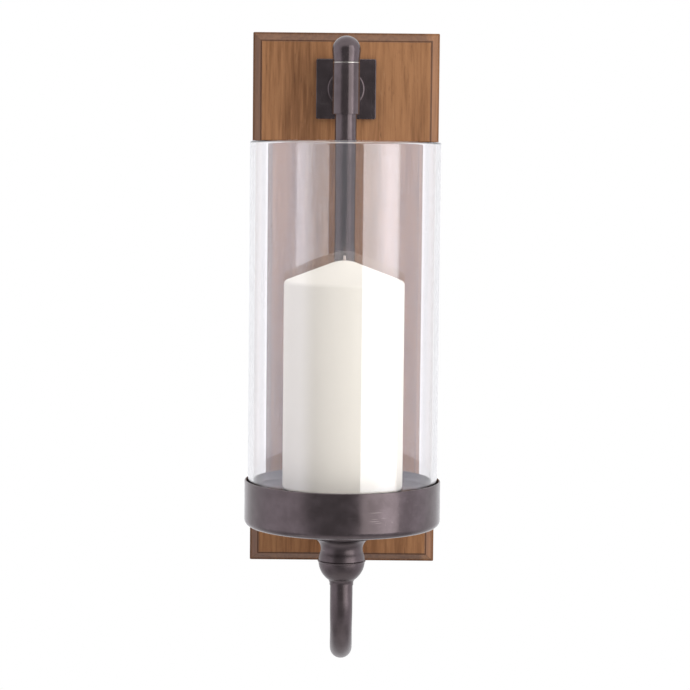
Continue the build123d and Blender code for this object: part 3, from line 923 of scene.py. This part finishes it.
        # the neck's arc touches the ball's circle: their centres lie the two radii apart
        neck_rise = flange_z - curve - ball_z
        neck_centre = math.sqrt((ball + curve) ** 2 - neck_rise**2)
        ball_high = math.degrees(math.atan2(neck_rise, neck_centre))
        flare_z = ball_z + ball * math.sin(math.radians(ball_low))
        # hollow flare: an arc through both its ends, bulging towards the rod
        flare_chord = np.array([flare - foot, flare_z - low[2]])
        flare_steps = np.linspace(0, 1, 8)[:, None]
        flare_bulge = np.array([-flare_chord[1], flare_chord[0]]) * 0.16
        flare_curve = np.array([foot, low[2]]) + flare_chord * flare_steps
        flare_curve = flare_curve + flare_bulge * 4 * flare_steps * (1 - flare_steps)
        ball_angle = np.radians(np.linspace(ball_low, ball_high, 61)[1:])
        along_ball = ball * ball_angle / sizes.bead_radius
        bead = sizes.bead_radius * np.sqrt(np.clip(1 - along_ball**2, 0, None))
        ball_curve = np.stack(
            [(ball + bead) * np.cos(ball_angle), ball_z + (ball + bead) * np.sin(ball_angle)], axis=1
        )
        neck_curve = arc((neck_centre, flange_z - curve), curve, 180 + ball_high, 90, 22)[1:]
        flange_outline = rounded(
            [
                (neck_centre, flange_z), (flange, flange_z), (flange, high[2]), (tap, high[2]),
                (tap, tap_z), (0, tap_z),
            ],
            [0, 2.0 * MM, 2.0 * MM, 0.3 * MM, 0, 0],
        )[1:]
        outline = np.concatenate([
            [(0, socket_z), (rod, socket_z), (rod, low[2])], flare_curve, ball_curve, neck_curve,
            flange_outline,
        ])
        # true at the tray's seat and at the rod's socket
        swell = hammered(sizes.unevenness, 3, 14, 0.8, (low[2], 4 * MM), (high[2], 4 * MM))
        return turned("turned_knuckle", outline, axis_of("knuckle"), KNUCKLE_SEGMENTS, swell=swell)


class SCONCE_OT_tray(bpy.types.Operator):
    """Spun tray pan and the platform inside it"""

    bl_idname = "sconce.tray"
    bl_label = "Tray"

    def execute(self, context):
        sizes, colours = context.scene.sconce_sizes, context.scene.sconce_colours
        bronze = bronze_of(colours)
        axis = axis_of("tray_pan")
        low, high = span("tray_pan")
        radius, wall, corner = radius_of("tray_pan"), sizes.tray_wall, sizes.tray_corner
        bore, floor_z = TRAY_BORE_RADIUS, low[2] + TRAY_FLOOR
        rim_round = 0.49 * wall
        pan_section = rounded(
            [
                (bore, low[2]), (radius, low[2]), (radius, high[2]), (radius - wall, high[2]),
                (radius - wall, floor_z), (bore, floor_z),
            ],
            [0.2 * MM, corner, rim_round, rim_round, corner - wall, 0.2 * MM],
            steps=10, closed=True,
        )
        # true at the rim and at the corner
        swell = hammered(0.7 * sizes.unevenness, 4, 22, 2.3, (low[2], 6 * MM), (high[2], 3 * MM))
        pan_rows = self.even_rows(pan_section, 2.0 * MM)
        pan = turned("spun_tray_pan", pan_rows, axis, rows_close=True, swell=swell)
        dress(pan, "hook_arm", "dark_bronze", bronze, "tray_pan")

        plate_low, plate_high = span("tray_platform")
        edge = radius_of("tray_platform")
        skirt = radius - wall - (corner - wall) - PLATFORM_CLEARANCE
        thick = PLATFORM_THICKNESS
        under_z = plate_high[2] - thick
        platform_outline = rounded(
            [
                (0, under_z), (skirt - thick, under_z), (skirt - thick, plate_low[2]),
                (skirt, plate_low[2]), (skirt, under_z), (edge, under_z), (edge, plate_high[2]),
                (0, plate_high[2]),
            ],
            [0, 0.3 * MM, 0.2 * MM, 0.2 * MM, 0.3 * MM, 0.2 * MM, 0.4 * MM, 0],
        )
        platform = turned("tray_platform_disc", platform_outline, axis)
        dress(platform, "hook_arm", "dark_bronze", bronze, "tray_platform")
        return {"FINISHED"}

    def even_rows(self, outline, most):
        """Cut a closed outline's long runs evenly, so that no row is further than most from the
        next."""
        closed = np.concatenate([outline, outline[:1]])
        travel = np.concatenate([[0], np.cumsum(np.linalg.norm(np.diff(closed, axis=0), axis=1))])
        even = np.arange(0, travel[-1], most)
        spare = np.abs(even[:, None] - travel[None, :]).min(axis=1) > 0.3 * most
        place = np.sort(np.concatenate([travel[:-1], even[spare]]))
        return np.stack([np.interp(place, travel, closed[:, axis]) for axis in (0, 1)], axis=1)


class SCONCE_OT_glass(bpy.types.Operator):
    """Open glass cylinder with fire-polished lips"""

    bl_idname = "sconce.glass"
    bl_label = "Glass cylinder"

    def execute(self, context):
        sizes = context.scene.sconce_sizes
        low, high = span("glass_cylinder")
        radius, wall = radius_of("glass_cylinder"), sizes.glass_wall
        lip = 0.46 * wall
        section = ring_section(radius - wall, radius, low[2], high[2], [lip] * 4, steps=10)
        glass = turned(
            "drawn_glass_cylinder", section, axis_of("glass_cylinder"), GLASS_SEGMENTS, rows_close=True
        )
        material = material_named("drawn_glass", drawn_glass)
        dress(glass, "glass", "clear_glass", material, "glass_cylinder")
        return {"FINISHED"}


class SCONCE_OT_candle(bpy.types.Operator):
    """Pillar candle and its wick"""

    bl_idname = "sconce.candle"
    bl_label = "Candle"

    def execute(self, context):
        sizes, colours = context.scene.sconce_sizes, context.scene.sconce_colours
        low, high = span("candle")
        radius, wick_radius = radius_of("candle"), radius_of("wick")
        wick_low, wick_high = span("wick")
        slope, tip = sizes.cone_angle, sizes.tip_radius
        tip_z = wick_high[2] - WICK_RISE
        edge = tip * math.sin(slope)
        edge_z = tip_z - tip * (1 - math.cos(slope))
        shoulder_z = edge_z - (radius - edge) * math.tan(slope)
        side = rounded(
            [(0, low[2]), (radius, low[2]), (radius, shoulder_z), (edge, edge_z)],
            [0, 2.5 * MM, 3.0 * MM, 0], steps=12,
        )
        well_angle = 90 - math.degrees(wick_radius / tip)
        top = arc((0, tip_z - tip), tip, 90 - math.degrees(slope), well_angle, 10)
        well = [(wick_radius, wick_low[2]), (0, wick_low[2])]
        candle = turned("pillar_candle", np.concatenate([side, top[1:], well]), axis_of("candle"))
        wax = material_named("ivory_wax", ivory_wax, colours)
        dress(candle, "pillar_candle", "ivory_wax", wax, "candle")
        wick = self.wick(wick_radius, wick_low[2], wick_high[2])
        dress(
            wick, "pillar_candle", "cotton_wick",
            material_named("cotton_braid", cotton_braid, colours), "wick",
        )
        return {"FINISHED"}

    def wick(self, radius, foot_z, top_z):
        """Braided wick: three strands, so that its radius rises and falls three times a turn, and
        the pattern turns once in the braid's pitch. It thins towards its cut end."""
        pitch = 5.0 * MM
        height = np.concatenate([[foot_z], np.linspace(foot_z, top_z, 240), [top_z]])[:, None]
        angle = round_turn(WICK_SEGMENTS)
        strand = np.abs(np.cos(1.5 * angle + np.pi * height / pitch))
        taper = np.clip((top_z - height) / (3.0 * MM), 0, 1)
        reach = radius * (0.62 + 0.16 * taper + 0.22 * strand * (0.6 + 0.4 * taper))
        row = np.arange(len(height))[:, None]
        reach = np.where((row == 0) | (row == len(height) - 1), 0, reach)
        axis = axis_of("wick")
        points = np.stack(
            [axis[0] + reach * np.cos(angle), axis[1] + reach * np.sin(angle), height + 0 * angle], axis=2
        )
        return skin("braided_wick", points)


class SCONCE_OT_fixings(bpy.types.Operator):
    """Finishes for the fixings, whose own shapes stay"""

    bl_idname = "sconce.fixings"
    bl_label = "Fixings"

    def execute(self, context):
        colours = context.scene.sconce_colours
        zinc = material_named("zinc_plate", plated_metal, "zinc_plate", colours.zinc, 0.22, 0.42, 1.6)
        for name in (
            "hanger_plate_upper", "hanger_plate_lower", "hanger_screws", "plate_bolts",
            "plate_bolt_washers", "tray_screw", "tray_screw_washer",
        ):
            node = CAD_NODES[name]
            if not node.material_slots:
                node.data.materials.append(zinc)
            for slot in node.material_slots:
                slot.material = zinc
        return {"FINISHED"}


class SCONCE_OT_stage(bpy.types.Operator):
    """Pale floor, soft studio light, bright surroundings and the camera"""

    bl_idname = "sconce.stage"
    bl_label = "Stage"

    def execute(self, context):
        self.floor()
        self.light()
        self.surroundings()
        self.camera()
        context.scene.view_settings.view_transform = "Standard"
        return {"FINISHED"}

    def floor(self):
        """Round floor well below the sconce."""
        radius, top, thickness = 1.0, -1.5, 2 * MM
        under = top - thickness
        outline = np.array([(0, under), (radius, under), (radius, top), (0, top)])
        floor = turned("studio_floor", outline, (0, -0.1), SMALL_SEGMENTS)
        material, tree, coordinates = new_material("painted_floor")
        mottle = add(tree, "TexNoise", {"Vector": coordinates, "Scale": repeats(120)[0], "Detail": 3.0})
        tone = add(
            tree, "Mix", {0: mottle, 6: rgba(linear("CDCDCC")), 7: rgba(linear("D8D8D7"))},
            data_type="RGBA",
        )
        put_out(tree, add(tree, "BsdfPrincipled", {"Base Color": tone, "Roughness": 0.7}))
        floor.data.materials.append(material)

    def light(self):
        """A tall soft box to the right of the camera, wide enough to span about 46
        degrees from the sconce."""
        turn, distance, middle_z = math.radians(44), 1.6, 0.3
        width, height, radiance = 1.35, 2.0, 2.05
        lamp = bpy.data.lights.new("key_box", "AREA")
        lamp.shape = "RECTANGLE"
        lamp.size, lamp.size_y = width, height
        lamp.energy = radiance * math.pi * width * height
        box = bpy.data.objects.new("key_box", lamp)
        box.location = (distance * math.sin(turn), -0.1 - distance * math.cos(turn), middle_z)
        box.rotation_euler = (math.radians(90), 0, turn)
        box.visible_camera = False
        bpy.context.scene.collection.objects.link(box)

    def surroundings(self):
        """White to the eye. To the sconce it is a white sweep behind and overhead, brightest at
        the sides, which fades to a dim room on the camera's side and below."""
        world = bpy.data.worlds.new("studio")
        bpy.context.scene.world = world
        world.use_nodes = True
        tree = world.node_tree
        tree.nodes.clear()
        direction = add(tree, "TexCoord").outputs["Generated"]
        axes = add(tree, "SeparateXYZ", {0: direction})
        light = (0.3, 0.3, 0.31, 1.0)
        # along an axis of the direction looked in, from start to end: up to most of a colour
        for axis, start, end, most, colour in (
            ("Y", -0.86, -0.55, 1.0, (1.36, 1.34, 1.44)),  # at the sides
            ("Z", -0.2, -0.7, 0.7, (0.35, 0.35, 0.36)),  # below
            ("Y", 0.2, 0.7, 1.0, (1.12, 1.12, 1.15)),  # behind
            ("Z", 0.35, 0.75, 1.0, (1.5, 1.5, 1.54)),  # overhead
        ):
            light = cover(
                tree, light, colour, axes.outputs[axis], start, end, most, interpolation_type="SMOOTHSTEP"
            )
        lit = add(tree, "Background", {"Color": light, "Strength": 1.0})
        white = add(tree, "Background", {"Color": (1.0, 1.0, 1.0, 1.0), "Strength": 1.0})
        seen = add(tree, "LightPath").outputs["Is Camera Ray"]
        mixed = add(tree, "MixShader", {0: seen, 1: lit, 2: white})
        add(tree, "OutputWorld", {"Surface": mixed})

    def camera(self):
        """Long lens, straight in front and a little above the middle, tilted down and a touch
        off level. The axes are those of a camera that looks along +Y, turned by yaw, pitch, roll."""
        yaw, pitch, roll = math.radians(0.073), math.radians(5.115), math.radians(0.572)
        towards = np.array([math.sin(yaw), math.cos(yaw), 0.0])
        ahead = math.cos(pitch) * towards - math.sin(pitch) * np.array([0.0, 0.0, 1.0])
        level = np.array([math.cos(yaw), -math.sin(yaw), 0.0])
        above = np.cross(level, ahead)
        right = math.cos(roll) * level + math.sin(roll) * above
        up = -math.sin(roll) * level + math.cos(roll) * above
        data = bpy.data.cameras.new("front_camera")
        data.sensor_width, data.lens = 36.0, 135.52
        camera = bpy.data.objects.new("front_camera", data)
        place = np.array([-1.27, -1762.3, 125.4]) * MM
        matrix = np.identity(4)
        matrix[:3, 0], matrix[:3, 1], matrix[:3, 2], matrix[:3, 3] = right, up, -ahead, place
        camera.matrix_world = Matrix(matrix.tolist())
        bpy.context.scene.collection.objects.link(camera)
        bpy.context.scene.camera = camera


class SCONCE_PT_panel(bpy.types.Panel):
    """Lists the sconce's sizes, colours and builders"""

    bl_idname = "SCONCE_PT_panel"
    bl_label = "Candle sconce"
    bl_space_type = "VIEW_3D"
    bl_region_type = "UI"
    bl_category = "Sconce"

    def draw(self, context):
        column = self.layout.column()
        for group in (context.scene.sconce_sizes, context.scene.sconce_colours):
            for name in group.bl_rna.properties.keys():
                if name not in ("rna_type", "name"):
                    column.prop(group, name)
        for operator in OPERATORS:
            column.operator(operator.bl_idname)


OPERATORS = (
    SCONCE_OT_backboard, SCONCE_OT_wall_bracket, SCONCE_OT_hook, SCONCE_OT_tray, SCONCE_OT_glass,
    SCONCE_OT_candle, SCONCE_OT_fixings, SCONCE_OT_stage,
)
CLASSES = (SconceSizes, SconceColours, *OPERATORS, SCONCE_PT_panel)


def register():
    for new_class in CLASSES:
        bpy.utils.register_class(new_class)
    bpy.types.Scene.sconce_sizes = bpy.props.PointerProperty(type=SconceSizes)
    bpy.types.Scene.sconce_colours = bpy.props.PointerProperty(type=SconceColours)


def unregister():
    del bpy.types.Scene.sconce_colours
    del bpy.types.Scene.sconce_sizes
    for old_class in reversed(CLASSES):
        bpy.utils.unregister_class(old_class)


def main():
    register()
    bpy.ops.sconce.backboard()
    bpy.ops.sconce.wall_bracket()
    bpy.ops.sconce.hook()
    bpy.ops.sconce.tray()
    bpy.ops.sconce.glass()
    bpy.ops.sconce.candle()
    bpy.ops.sconce.fixings()
    bpy.ops.sconce.stage()


if __name__ == "__main__":
    main()
